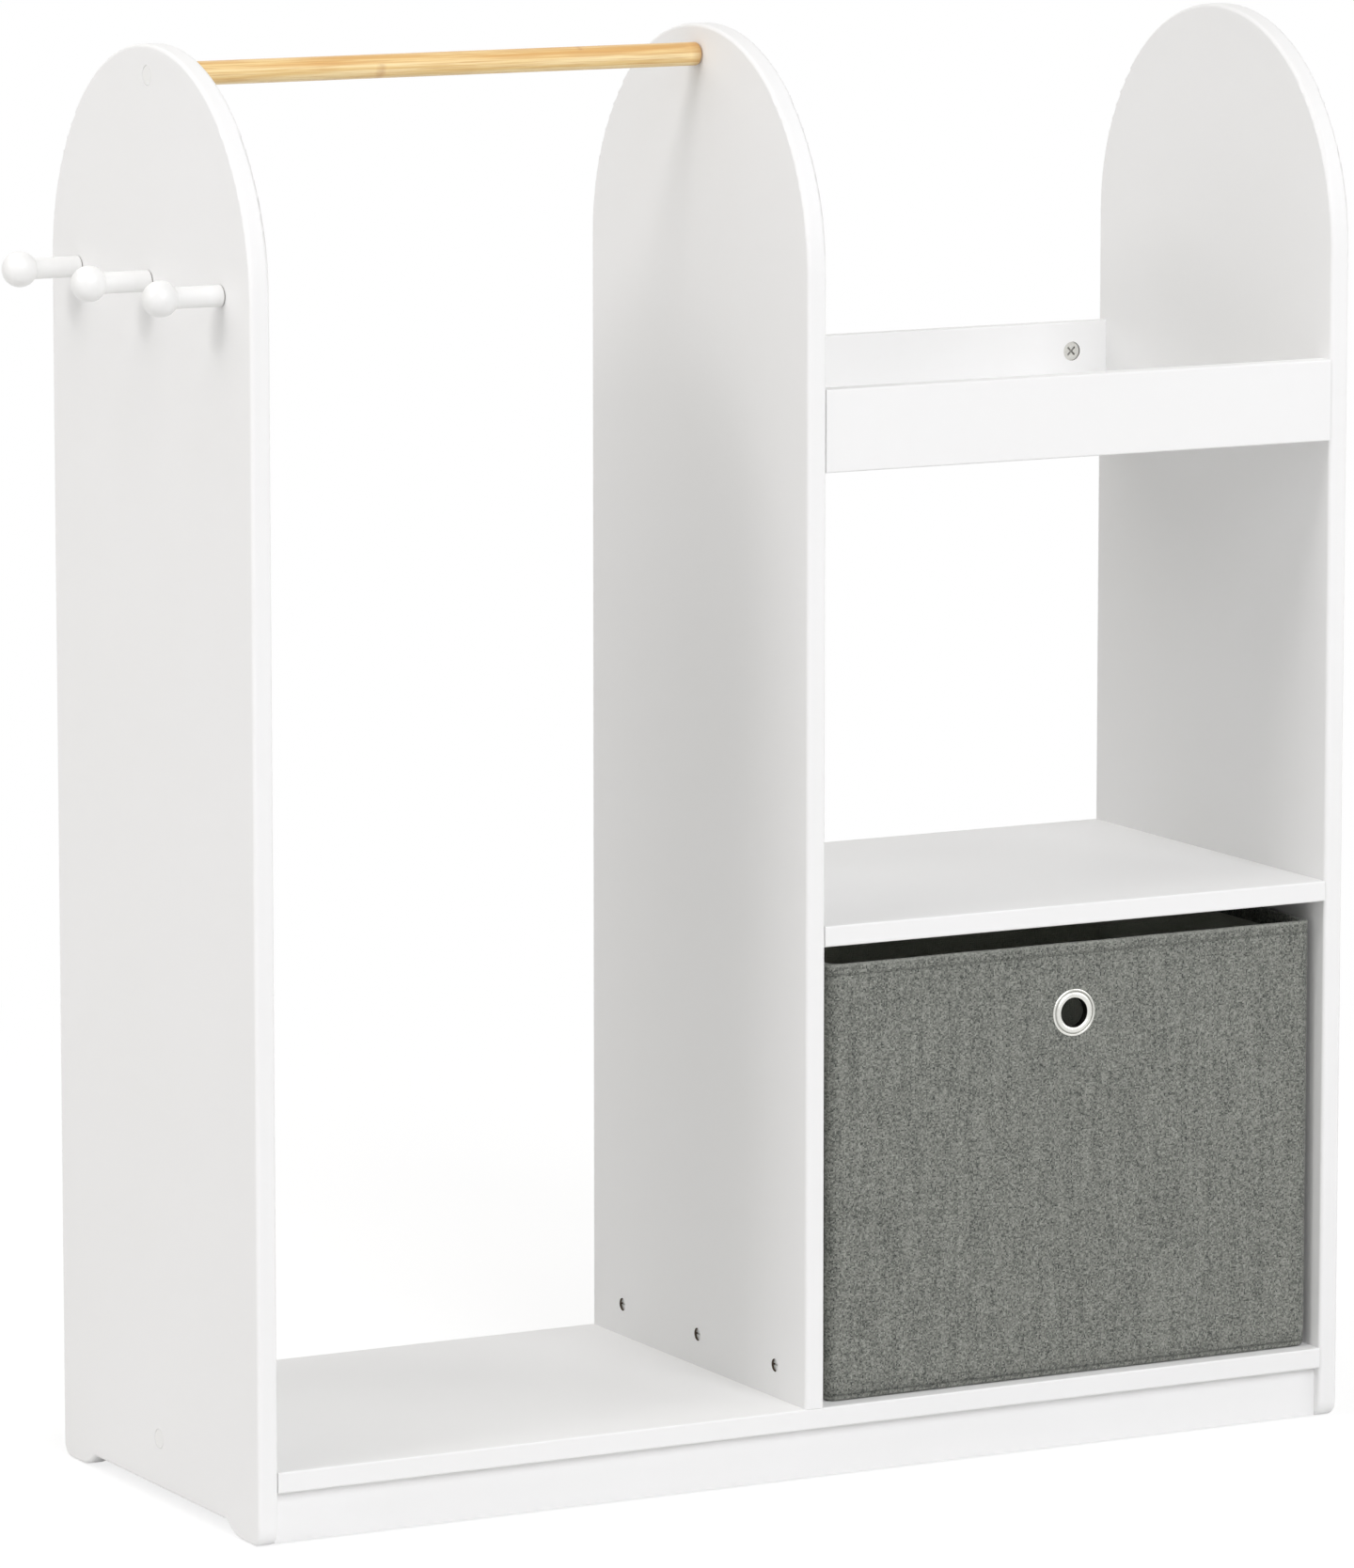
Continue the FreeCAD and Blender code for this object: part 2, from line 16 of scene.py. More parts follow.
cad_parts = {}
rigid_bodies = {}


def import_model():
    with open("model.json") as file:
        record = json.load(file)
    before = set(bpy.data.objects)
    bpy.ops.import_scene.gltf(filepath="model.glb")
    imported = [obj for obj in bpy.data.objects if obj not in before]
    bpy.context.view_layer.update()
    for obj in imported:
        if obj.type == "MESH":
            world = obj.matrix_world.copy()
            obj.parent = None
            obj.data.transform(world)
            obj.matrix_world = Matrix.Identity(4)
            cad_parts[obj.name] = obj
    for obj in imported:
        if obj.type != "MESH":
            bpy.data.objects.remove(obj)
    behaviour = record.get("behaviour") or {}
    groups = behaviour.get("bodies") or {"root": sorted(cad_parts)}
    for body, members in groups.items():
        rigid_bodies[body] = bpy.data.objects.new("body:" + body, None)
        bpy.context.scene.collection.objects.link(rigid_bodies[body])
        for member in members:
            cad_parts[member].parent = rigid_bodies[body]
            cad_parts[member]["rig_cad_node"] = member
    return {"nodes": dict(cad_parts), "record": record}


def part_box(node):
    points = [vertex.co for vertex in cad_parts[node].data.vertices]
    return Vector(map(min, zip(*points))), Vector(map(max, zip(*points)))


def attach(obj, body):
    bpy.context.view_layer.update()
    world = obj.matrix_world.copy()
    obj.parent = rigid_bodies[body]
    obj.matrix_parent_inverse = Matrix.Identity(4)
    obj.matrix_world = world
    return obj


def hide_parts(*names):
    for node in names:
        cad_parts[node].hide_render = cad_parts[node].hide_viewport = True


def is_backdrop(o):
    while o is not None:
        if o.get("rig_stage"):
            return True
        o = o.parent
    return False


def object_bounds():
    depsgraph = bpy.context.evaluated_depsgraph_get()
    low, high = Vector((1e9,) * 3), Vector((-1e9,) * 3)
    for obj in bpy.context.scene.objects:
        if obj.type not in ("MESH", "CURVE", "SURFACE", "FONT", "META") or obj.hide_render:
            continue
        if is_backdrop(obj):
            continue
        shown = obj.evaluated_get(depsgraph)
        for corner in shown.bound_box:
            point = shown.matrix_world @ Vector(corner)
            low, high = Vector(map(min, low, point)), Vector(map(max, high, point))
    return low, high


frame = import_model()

for leftover in list(bpy.data.objects):
    if "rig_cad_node" not in leftover and leftover.name.split(":")[0] != "body":
        bpy.data.objects.remove(leftover)
cad_low, cad_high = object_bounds()
print("wardrobe", [round(side, 4) for side in cad_high - cad_low], "m,", len(frame["nodes"]), "pieces")

# %% [markdown]
# ## Writing shader maths as sums
# A finish is a small network of nodes, and most of them only add or multiply numbers.
# One class wraps a socket, so that such a sum can be written in Python and adds its own Math nodes.
# Every other node goes through one method, which sets the node's settings first and then its sockets.

# %% A socket that can be used in sums


class Wire:
    """One output of a shader node. Each operator adds a Math node to the same tree."""

    def __init__(self, tree, socket=None):
        self.tree = tree
        self.socket = socket

    def node(self, kind, settings=None, inputs=None, output=0):
        """Adds a node of any type and returns one of its outputs."""
        made = self.tree.nodes.new("ShaderNode" + kind)
        for name, value in (settings or {}).items():
            setattr(made, name, value)
        for name, value in (inputs or {}).items():
            if isinstance(value, Wire):
                self.tree.links.new(value.socket, made.inputs[name])
            else:
                made.inputs[name].default_value = value
        return Wire(self.tree, made.outputs[output] if made.outputs else None)

    def maths(self, operation, *numbers):
        """A Math node on these numbers and wires, in their order."""
        return self.node("Math", {"operation": operation}, dict(enumerate(numbers)))

    def __add__(self, other):
        return self.maths("ADD", self, other)

    def __radd__(self, other):
        return self.maths("ADD", other, self)

    def __sub__(self, other):
        return self.maths("SUBTRACT", self, other)

    def __rsub__(self, other):
        return self.maths("SUBTRACT", other, self)

    def __mul__(self, other):
        return self.maths("MULTIPLY", self, other)

    def __rmul__(self, other):
        return self.maths("MULTIPLY", other, self)

    def __abs__(self):
        return self.maths("ABSOLUTE", self)

    def __floor__(self):
        return self.maths("FLOOR", self)


print("sums are ready:", [name for name in vars(Wire) if name.startswith("__r")])

# %% [markdown]
# ## Small tools for finishes
# Colours are written as a paint chart gives them and turned into the linear light that a shader takes.
# Noise is given in swells to the metre, and bumps in metres, so that each finish has its real scale.

# %% Colours, noise and bumps


def tone(red, green, blue):
    """A colour as a paint chart gives it, from 0 to 255, as the linear colour that a shader takes."""
    chart = [part / 255 for part in (red, green, blue)]
    return (*[part / 12.92 if part <= 0.04045 else ((part + 0.055) / 1.055) ** 2.4 for part in chart], 1)


def mixed(share, first, second):
    """Two colours mixed by a share from 0 to 1."""
    return share.node("Mix", {"data_type": "RGBA"}, {0: share, 6: first, 7: second}, output=2)


def part_of(place, axis):
    """One of a place's three numbers."""
    return place.node("SeparateXYZ", inputs={"Vector": place}, output=axis)


def cloud(place, scale, stretch=(1, 1, 1), detail=2.0):
    """Soft noise from 0 to 1, with about this many swells to the metre."""
    turned = place.node("Mapping", inputs={"Vector": place, "Scale": stretch})
    return place.node("TexNoise", inputs={"Vector": turned, "Scale": scale, "Detail": detail})


def spread(value, low, high):
    """A value between low and high, drawn out to 0 and 1."""
    return value.node("MapRange", {"clamp": True}, {"Value": value, "From Min": low, "From Max": high})


def relief(height, depth):
    """A bump of this real depth in metres, from a height between 0 and 1."""
    return height.node("Bump", inputs={"Height": height, "Distance": depth, "Strength": 1.0})


def make_finish(name, recipe, *details):
    """A material whose Principled shader takes what the recipe returns."""
    material = bpy.data.materials.new(name)
    material.use_nodes = True
    material.node_tree.nodes.clear()
    start = Wire(material.node_tree)
    shader = start.node("BsdfPrincipled", inputs=recipe(start, *details))
    start.node("OutputMaterial", inputs={"Surface": shader})
    print("finish", name, "has", len(material.node_tree.nodes), "nodes")
    return material


print("white", [round(part, 3) for part in tone(241, 241, 240)])

# %% [markdown]
# ## White lacquer
# The boards are fibreboard under a sprayed white lacquer, so they have no grain. What makes them look
# real is small: the coat is a little cloudy, its sheen varies, and it has a faint orange-peel relief.
# Pockets for cams and nuts are drilled after spraying, so their walls show bare fibreboard, and they are
# painted much darker than bare board, as painted shade in the pockets. A point is in a pocket if it is on
# the surface and still well inside the board's own box, and that is easy to work out.

# %% Lacquer with painted shade in its pockets
pocket_skin = 0.0002
pocket_edge = 0.003


def lacquer(start):
    """White lacquer, a little cloudy and with a faint orange peel."""
    place = start.node("TexCoord", output="Object")
    haze = cloud(place, 5.0, detail=3.0)
    peel = cloud(place, 420.0)
    return {
        "Base Color": mixed(haze, tone(240, 240, 239), tone(243, 243, 243)),
        "Roughness": 0.50 + 0.12 * haze,
        "Normal": relief(peel, 0.00002),
        "Specular IOR Level": 0.4,
    }


def deep_in(place, low, high, skin, edge):
    """1 inside a box, deeper than the skin across its thickness and than the edge along it, and 0 outside."""
    sizes = high - low
    depths = []
    for axis in range(3):
        margin = skin if sizes[axis] == min(sizes) else edge
        from_middle = abs(part_of(place, axis) - (low[axis] + high[axis]) / 2)
        depths.append(spread(from_middle, sizes[axis] / 2 - margin, sizes[axis] / 2 - margin * 2))
    return depths[0] * depths[1] * depths[2]


def lacquer_with_pockets(start, low, high):
    """White lacquer, and bare fibreboard darkened by painted shade inside the board's own box."""
    place = start.node("TexCoord", output="Object")
    fibre = cloud(place, 1300.0, detail=4.0)
    pocket = deep_in(place, low, high, pocket_skin, pocket_edge)
    coat = lacquer(start)
    # Painted shade: bare fibreboard, painted much darker than it is on the pocket walls.
    raw_and_shaded = mixed(fibre, tone(58, 50, 42), tone(96, 82, 68))
    coat["Base Color"] = mixed(pocket, coat["Base Color"], raw_and_shaded)
    coat["Roughness"] = coat["Roughness"] + 0.4 * pocket
    return coat


print("raw board starts", pocket_skin * 1000, "mm under a face and", pocket_edge * 1000, "mm from an end")

# %% [markdown]
# ## Paint and plastic
# The pegs are turned wood under white paint, which leaves faint rings from the brush or the lathe. Their
# foot is chamfered, and the fine gap that it leaves against the panel is painted dark, as painted shade.
# The screw caps are moulded plastic with the fine matt grain of the mould.

# %% Peg paint and cap plastic
peg_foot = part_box("left_side_panel")[0].x
gap_shade_starts = peg_foot - 0.0010
gap_shade_full = peg_foot - 0.0003


def peg_paint(start):
    """White paint on turned wood, with painted shade in the gap at the peg's foot."""
    place = start.node("TexCoord", output="Object")
    turned = cloud(place, 160.0, stretch=(1, 0.2, 0.2), detail=3.0)
    painted = mixed(turned, tone(235, 235, 233), tone(239, 239, 238))
    # Painted shade: the chamfer at the peg's foot is painted dark against the panel.
    gap = spread(part_of(place, 0), gap_shade_starts, gap_shade_full)
    return {
        "Base Color": mixed(gap, painted, tone(84, 80, 74)),
        "Roughness": 0.28 + 0.12 * turned,
        "Normal": relief(turned, 0.00004),
    }


def cap_plastic(start):
    """White plastic with the fine grain of its mould."""
    place = start.node("TexCoord", output="Object")
    grain = cloud(place, 1500.0)
    return {
        "Base Color": mixed(grain, tone(237, 237, 235), tone(242, 242, 241)),
        "Roughness": 0.5 + 0.1 * grain,
        "Normal": relief(grain, 0.00003),
    }


print("pegs meet the panel at", round(peg_foot, 3))

# %% [markdown]
# ## Bamboo
# The rod is turned from laminated bamboo: strips glued side by side, each with its own tone. Fine fibres
# run along the whole rod, and each strip has a brown knuckle here and there where the cane had a joint.
# The fibres are noise drawn out along the rod, and a knuckle is a thin soft band across one strip only.
# At both ends, where the rod meets the panels, the last few millimetres are painted browner, as painted
# shade.

# %% Bamboo for the rod
rod_low, rod_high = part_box("hanging_rod")
glue_line = (rod_low.z + 0.0105, rod_low.z + 0.0120)
crown_line = (rod_low.z + 0.0150, rod_low.z + 0.0162)
lower_knuckle = rod_low.x + 0.1755
upper_knuckle = rod_low.x + 0.3445
lower_knuckle_fade = (0.0050, 0.0004)
upper_knuckle_fade = (0.0040, 0.0004)
knuckle_wander = 0.006
end_shade_fade = (0.010, 0.001)


def bamboo(start):
    """Laminated bamboo along the rod, with fibres, knuckles and painted shade at its ends."""
    place = start.node("TexCoord", output="Object")
    along = part_of(place, 0)
    height = part_of(place, 2)
    upper = spread(height, *glue_line)
    crown = spread(height, *crown_line)
    fibre = cloud(place, 26.0, stretch=(1, 55, 55), detail=5.0)
    streak = cloud(place, 8.0, stretch=(1, 40, 40), detail=3.0)
    light_strip = mixed(spread(streak, 0.40, 0.60), tone(249, 225, 172), tone(234, 200, 134))
    warm_strip = mixed(spread(streak, 0.40, 0.60), tone(239, 207, 145), tone(221, 174, 105))
    cane = mixed(upper, light_strip, warm_strip)
    fibred = mixed(spread(fibre, 0.46, 0.70) * 0.7, cane, tone(206, 154, 90))
    wander = knuckle_wander * cloud(place, 160.0)
    knuckle_below = spread(abs(along + wander - lower_knuckle), *lower_knuckle_fade) * (1 - upper)
    knuckle_above = spread(abs(along + wander - upper_knuckle), *upper_knuckle_fade) * crown
    knuckle = knuckle_below + knuckle_above
    # Painted shade: browner over the last centimetre at each end, where the rod meets a panel.
    to_end = start.maths("MINIMUM", along - rod_low.x, rod_high.x - along)
    end_shade = spread(to_end, *end_shade_fade)
    with_end_shade = mixed(end_shade * 0.6, fibred, tone(172, 120, 60))
    return {
        "Base Color": mixed(knuckle * (0.12 + 0.34 * fibre), with_end_shade, tone(170, 96, 60)),
        "Roughness": 0.34 + 0.16 * fibre,
        "Coat Weight": 0.25,
        "Coat Roughness": 0.2,
        "Normal": relief(fibre - knuckle * 0.6, 0.00012),
    }


print("rod from", round(rod_low.x, 3), "to", round(rod_high.x, 3))

# %% [markdown]
# ## Metal
# The cams are cast zinc, dull and slightly grainy, with painted shade in the cross where the screwdriver
# goes.
# Screws, bolts and nuts are plated steel with turning marks. The eyelet is pressed from bright
# nickel-plated sheet. The groove round it and the inside of its barrel are painted darker, as painted
# shade, and both are found by their distance from the eyelet's middle.

# %% Zinc, steel and nickel
eyelet_low, eyelet_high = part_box("box_eyelet_ring")
eyelet_middle = (eyelet_low + eyelet_high) / 2
groove_from_edge = 0.0023
eyelet_groove = (eyelet_high.x - eyelet_low.x) / 2 - groove_from_edge
groove_shade_fade = (0.0014, 0.0002)
eyelet_bore = 0.0115
barrel_shade_fade = (eyelet_bore + 0.00025, eyelet_bore + 0.00005)
cross_shade_skin = 0.0003


def cast_zinc(start, low, high):
    """Dull cast zinc, with painted shade in the cross below the cam's face."""
    place = start.node("TexCoord", output="Object")
    grain = cloud(place, 900.0, detail=4.0)
    # Painted shade: the cross recess below the cam's face is painted dark.
    cross = deep_in(place, low, high, cross_shade_skin, cross_shade_skin)
    bright = mixed(grain, tone(206, 205, 200), tone(236, 235, 230))
    return {
        "Base Color": mixed(cross * (0.35 + 0.5 * grain), bright, tone(62, 62, 58)),
        "Metallic": 0.75,
        "Roughness": 0.32 + 0.2 * grain,
        "Normal": relief(grain, 0.00005),
    }


def plated_steel(start):
    """Plated steel with turning marks."""
    place = start.node("TexCoord", output="Object")
    turned = cloud(place, 1400.0, stretch=(1, 0.2, 1), detail=3.0)
    return {
        "Base Color": mixed(turned, tone(218, 219, 218), tone(242, 243, 241)),
        "Metallic": 0.4,
        "Roughness": 0.26 + 0.18 * turned,
        "Normal": relief(turned, 0.00003),
    }


def bright_nickel(start):
    """Polished nickel, with painted shade in the eyelet's groove and its barrel."""
    place = start.node("TexCoord", output="Object")
    aside = part_of(place, 0) - eyelet_middle.x
    above = part_of(place, 2) - eyelet_middle.z
    radius = start.maths("SQRT", aside * aside + above * above)
    # Painted shade: the groove is painted duller and the inside of the barrel dark.
    groove = spread(abs(radius - eyelet_groove), *groove_shade_fade)
    barrel = spread(radius, *barrel_shade_fade)
    cloudy = cloud(place, 220.0, detail=3.0)
    polished = mixed(cloudy, tone(216, 216, 210), tone(236, 236, 231))
    groove_shaded = mixed(groove * 0.6, polished, tone(138, 138, 132))
    return {
        "Base Color": mixed(barrel, groove_shaded, tone(46, 46, 42)),
        "Metallic": 1.0,
        "Roughness": 0.18 + 0.10 * cloudy + 0.2 * groove + 0.3 * barrel,
        "Normal": relief(cloudy, 0.00002),
    }


print("eyelet at", [round(part, 4) for part in eyelet_middle], "groove radius", round(eyelet_groove, 4))

# %% [markdown]
# ## Hidden wood and card
# The dowels are beech and sit inside the joints, and the card stiffens the walls of the fabric box.
# Neither shows when the wardrobe is whole, but a part of a library can be taken apart, so they get their
# grain too.

# %% Beech and card


def beech(start):
    """Beech with fine, drawn-out grain."""
    place = start.node("TexCoord", output="Object")
    grain = cloud(place, 260.0, stretch=(0.15, 1, 0.6), detail=4.0)
    return {
        "Base Color": mixed(grain, tone(214, 182, 138), tone(190, 150, 104)),
        "Roughness": 0.55 + 0.2 * grain,
        "Normal": relief(grain, 0.00006),
    }


def grey_card(start):
    """Pressed card with specks of pulp."""
    place = start.node("TexCoord", output="Object")
    pulp = cloud(place, 600.0, detail=5.0)
    return {
        "Base Color": mixed(pulp, tone(150, 132, 108), tone(186, 168, 140)),
        "Roughness": 0.8 + 0.15 * pulp,
        "Normal": relief(pulp, 0.00008),
    }


print("hidden finishes", [recipe.__name__ for recipe in (beech, grey_card)])

# %% [markdown]
# ## Cloth
# The cover is a linen-look weave: yarns spun from mixed greys, thick in one place and thin in the next.
# So each yarn's tone changes along it, which gives short level and upright dashes, and every crossing
# differs a little. The pattern reads the piece's own UV map, which is laid out in metres round the box,
# so the yarns run level and upright on every side. Along the hem and the bottom seam the cloth is drawn
# in and lies in its own shade, so a thin line there is darker, and the folded rim is painted a little
# paler, as a painted highlight. The lining is felted cloth pressed with a grid of small dots, which is
# how such cloth is bonded.

# %% Weave and felt
yarn_pitch = 0.0011
yarn_swells = 300.0
next_yarn = 3.7
dots_to_metre = 620.0
seam_height = 0.0053
hem_depth = 0.0078
rim_highlight_fade = (0.0022, 0.0008)
hem_fade = (0.0012, 0.0005)
seam_fade = (0.0014, 0.0005)
box_low, box_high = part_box("box_cover")
box_middle = (box_low + box_high) / 2
seam_z = box_low.z + seam_height
hem_z = box_high.z - hem_depth


def linen(start):
    """A plain weave of mixed grey yarns, darker along its seams and with a painted highlight on the rim."""
    flat = start.node("UVMap", {"uv_map": "cloth"})
    across = part_of(flat, 0)
    upward = part_of(flat, 1)
    column = math.floor(across * (1 / yarn_pitch))
    row = math.floor(upward * (1 / yarn_pitch))
    over = start.maths("PINGPONG", column + row, 1.0)
    crossing = start.node("CombineXYZ", inputs={0: column, 1: row})
    fleck = start.node("TexWhiteNoise", {"noise_dimensions": "2D"}, {"Vector": crossing})
    warp_place = start.node("CombineXYZ", inputs={0: column * next_yarn, 1: upward * yarn_swells})
    weft_place = start.node("CombineXYZ", inputs={0: across * yarn_swells, 1: row * next_yarn, 2: 5.0})
    warp = start.node("TexNoise", inputs={"Vector": warp_place, "Scale": 1.0, "Detail": 3.0})
    weft = start.node("TexNoise", inputs={"Vector": weft_place, "Scale": 1.0, "Detail": 3.0})
    yarn = 0.5 * (warp + weft) + 0.25 * (over - 0.5) * (warp - weft)
    slub = cloud(flat, 14.0, stretch=(9, 1, 1), detail=2.0)
    shade = 0.47 * spread(yarn, 0.32, 0.68) + 0.42 * fleck + 0.11 * spread(slub, 0.3, 0.7)
    arch = abs(start.maths("SINE", across * (math.pi / yarn_pitch)))
    rib = abs(start.maths("SINE", upward * (math.pi / yarn_pitch)))
    body = arch * over + rib * (1 - over)
    woven = mixed(spread(shade, 0.17, 0.83), tone(54, 58, 54), tone(162, 164, 156))
    # Painted highlight: the folded rim is painted paler, where light catches it.
    at_rim = spread(abs(upward - box_high.z), *rim_highlight_fade)
    rim_highlighted = mixed(at_rim * 0.3, woven, tone(176, 178, 170))
    at_hem = spread(abs(upward - hem_z), *hem_fade)
    at_seam = spread(abs(upward - seam_z), *seam_fade)
    return {
        "Base Color": mixed((at_hem + at_seam) * 0.5, rim_highlighted, tone(62, 64, 60)),
        "Roughness": 0.86 + 0.1 * fleck,
        "Normal": relief(body * (0.6 + 0.4 * yarn), 0.00025),
        "Sheen Weight": 0.15,
    }


def sewing_thread(start):
    """Twisted grey thread."""
    place = start.node("TexCoord", output="Object")
    twist = cloud(place, 1800.0, detail=2.0)
    return {
        "Base Color": mixed(twist, tone(104, 106, 100), tone(140, 142, 135)),
        "Roughness": 0.6 + 0.2 * twist,
        "Normal": relief(twist, 0.00010),
    }


def felt(start):
    """Pale felted cloth, pressed with small dots."""
    flat = start.node("UVMap", {"uv_map": "cloth"})
    dot_grid = {"Vector": flat, "Scale": dots_to_metre, "Randomness": 0.15}
    dots = start.node("TexVoronoi", {"distance": "EUCLIDEAN"}, dot_grid)
    fibres = cloud(flat, 900.0, detail=4.0)
    pressed_dot = spread(dots, 0.25, 0.45)
    return {
        "Base Color": mixed(fibres * (0.5 + 0.5 * pressed_dot), tone(208, 210, 200), tone(233, 235, 226)),
        "Roughness": 0.85 + 0.1 * fibres,
        "Normal": relief(pressed_dot + 0.3 * fibres, 0.00015),
    }


def covered_card(start):
    """Card covered with the same pale cloth as the lining."""
    place = start.node("TexCoord", output="Object")
    fibres = cloud(place, 900.0, detail=4.0)
    return {
        "Base Color": mixed(fibres, tone(208, 210, 200), tone(231, 233, 224)),
        "Roughness": 0.85 + 0.1 * fibres,
        "Normal": relief(fibres, 0.00012),
    }


print("box", [round(side, 4) for side in box_high - box_low])
print("hem at", round(hem_z, 4), "and seam at", round(seam_z, 4))

# %% [markdown]
# ## Dress the CAD pieces
# The packed record says which finish each piece takes, so one table of finishes dresses them all. The
# boards with pockets and the cams differ from each other, because each needs its own box to find its
# hollows. In the middle panel only the low stretch round the nuts is searched.

# %% One finish for each slot of the record
finishes = {
    "white_board": make_finish("lacquer", lacquer),
    "bamboo": make_finish("bamboo", bamboo),
    "white_peg": make_finish("peg_paint", peg_paint),
    "cap_plastic": make_finish("cap_plastic", cap_plastic),
    "plated_steel": make_finish("plated_steel", plated_steel),
    "beech_dowel": make_finish("beech", beech),
    "grey_fabric": make_finish("linen", linen),
    "grey_lining": make_finish("felt", felt),
    "stiff_card": make_finish("grey_card", grey_card),
    "insert_card": make_finish("covered_card", covered_card),
    "eyelet_metal": make_finish("bright_nickel", bright_nickel),
}
boards_with_pockets = ("shelf", "top_shelf", "top_front_apron", "top_back_rail", "middle_panel")
pocketed = {board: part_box(board) for board in boards_with_pockets}
around_nuts = 0.010
panel_low, panel_high = pocketed["middle_panel"]
nuts_low, nuts_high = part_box("barrel_nuts")
panel_low.z = nuts_low.z - around_nuts
panel_high.z = nuts_high.z + around_nuts
for row in frame["record"]["subparts"]:
    piece_name, slot_name = row["node"], row["material_slot"]
    if piece_name in pocketed:
        finish = make_finish("lacquer_on_" + piece_name, lacquer_with_pockets, *pocketed[piece_name])
    elif slot_name == "cast_zinc":
        finish = make_finish("zinc_of_" + piece_name, cast_zinc, *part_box(piece_name))
    else:
        finish = finishes[slot_name]
    mesh = frame["nodes"][piece_name].data
    mesh.materials.clear()
    mesh.materials.append(finish)

# %% [markdown]
# ## The shell of the fabric box
# A cloth box like this is a tub of cloth over stiff boards: rounded upright edges, a rounded bottom edge
# and an open top. A cube with its lid removed and its edges bevelled gives that tub. Planes then cut it
# into a fine grid, so that later steps can press in seams and let the walls swell a little.

# %% A rounded tub on a grid
X_AXIS, Y_AXIS, Z_AXIS = Vector((1, 0, 0)), Vector((0, 1, 0)), Vector((0, 0, 1))
touching = 1e-5
corner_radius = 0.008
cover_bottom = 0.0044
above_board = 0.0003
cover_pitch = 0.010
seam_half_width = 0.0007
hem_half_width = 0.0009
corner_segments = 8
bottom_segments = 5


def cut_across(shell, axis, place):
    """Cuts the shell by a plane across an axis, and keeps both sides."""
    everything = [*shell.verts, *shell.edges, *shell.faces]
    bmesh.ops.bisect_plane(shell, geom=everything, dist=1e-6, plane_co=axis * place, plane_no=axis)


def steps(low, high, pitch):
    """Even places between low and high, about this far apart."""
    count = round((high - low) / pitch)
    return [low + (high - low) * step / count for step in range(1, count)]


def cut_grid(shell, low, high, pitch):
    """Cuts the shell into squares of about this pitch, from one corner to the other."""
    for axis, first, last in zip((X_AXIS, Y_AXIS, Z_AXIS), low, high):
        for place in steps(first, last, pitch):
            cut_across(shell, axis, place)


def round_off(shell, edges, radius, segments):
    """Rounds these edges of the shell."""
    bmesh.ops.bevel(
        shell, geom=edges, offset=radius, segments=segments, profile=0.5, affect="EDGES", material=-1
    )


def rounded_tub(low, high, edge_radius, bottom_radius):
    """An open tub with rounded upright edges and a rounded bottom edge."""
    tub = bmesh.new()
    bmesh.ops.create_cube(tub, size=1.0)
    bmesh.ops.scale(tub, vec=high - low, verts=tub.verts)
    bmesh.ops.translate(tub, vec=(low + high) / 2, verts=tub.verts)
    lid = [face for face in tub.faces if face.normal.z > 0.5]
    bmesh.ops.delete(tub, geom=lid, context="FACES_ONLY")
    upright = [edge for edge in tub.edges if abs(edge.verts[0].co.z - edge.verts[1].co.z) > 0.01]
    round_off(tub, upright, edge_radius, corner_segments)
    bottom = [edge for edge in tub.edges if max(vert.co.z for vert in edge.verts) < low.z + touching]
    round_off(tub, bottom, bottom_radius, bottom_segments)
    return tub


cover = rounded_tub(box_low + Z_AXIS * above_board, box_high, corner_radius, cover_bottom)
cut_grid(cover, (box_low.x, box_low.y, seam_z), (box_high.x, box_high.y, hem_z), cover_pitch)
for middle, half_width in ((seam_z, seam_half_width), (hem_z, hem_half_width)):
    for z in (middle - half_width, middle, middle + half_width):
        cut_across(cover, Z_AXIS, z)
print("tub of", len(cover.faces), "faces")

# %% [markdown]
# ## The eyelet's hole
# The eyelet pulls the cloth tight round a real hole, and one can see the dark inside through it.
# A square of faces is taken out of the wall, and its rim is extruded inwards and drawn onto a circle.

# %% Open a round hole in the front wall
hole_radius = 0.0128
hole_margin = 0.003
on_wall = 1e-4


def open_edges(shell, belongs):
    """The edges with a single face whose ends both belong."""
    single = [edge for edge in shell.edges if edge.is_boundary]
    return [edge for edge in single if all(belongs(vert.co) for vert in edge.verts)]


def extrude_rim(shell, edges):
    """Extrudes a rim and returns the new vertices."""
    made = bmesh.ops.extrude_edge_only(shell, edges=edges)["geom"]
    return [part for part in made if isinstance(part, bmesh.types.BMVert)]


def open_round_hole(shell, wall_y):
    """Opens a round hole at the eyelet in the wall at this depth."""
    half = hole_radius + hole_margin
    for side in (-half, half):
        cut_across(shell, X_AXIS, eyelet_middle.x + side)
        cut_across(shell, Z_AXIS, eyelet_middle.z + side)

    def inside(point):
        flat = point - eyelet_middle
        in_square = max(abs(flat.x), abs(flat.z)) < half + touching
        return in_square and abs(point.y - wall_y) < on_wall

    square = [face for face in shell.faces if inside(face.calc_center_median())]
    bmesh.ops.delete(shell, geom=square, context="FACES")
    bmesh.ops.subdivide_edges(shell, edges=open_edges(shell, inside), cuts=3)
    rim = open_edges(shell, inside)
    for vert in extrude_rim(shell, rim):
        spoke = vert.co - eyelet_middle
        spoke.y = 0
        vert.co = eyelet_middle + spoke.normalized() * hole_radius
        vert.co.y = wall_y
    print("hole with", len(rim), "sides at", [round(part, 4) for part in eyelet_middle])


open_round_hole(cover, box_low.y)

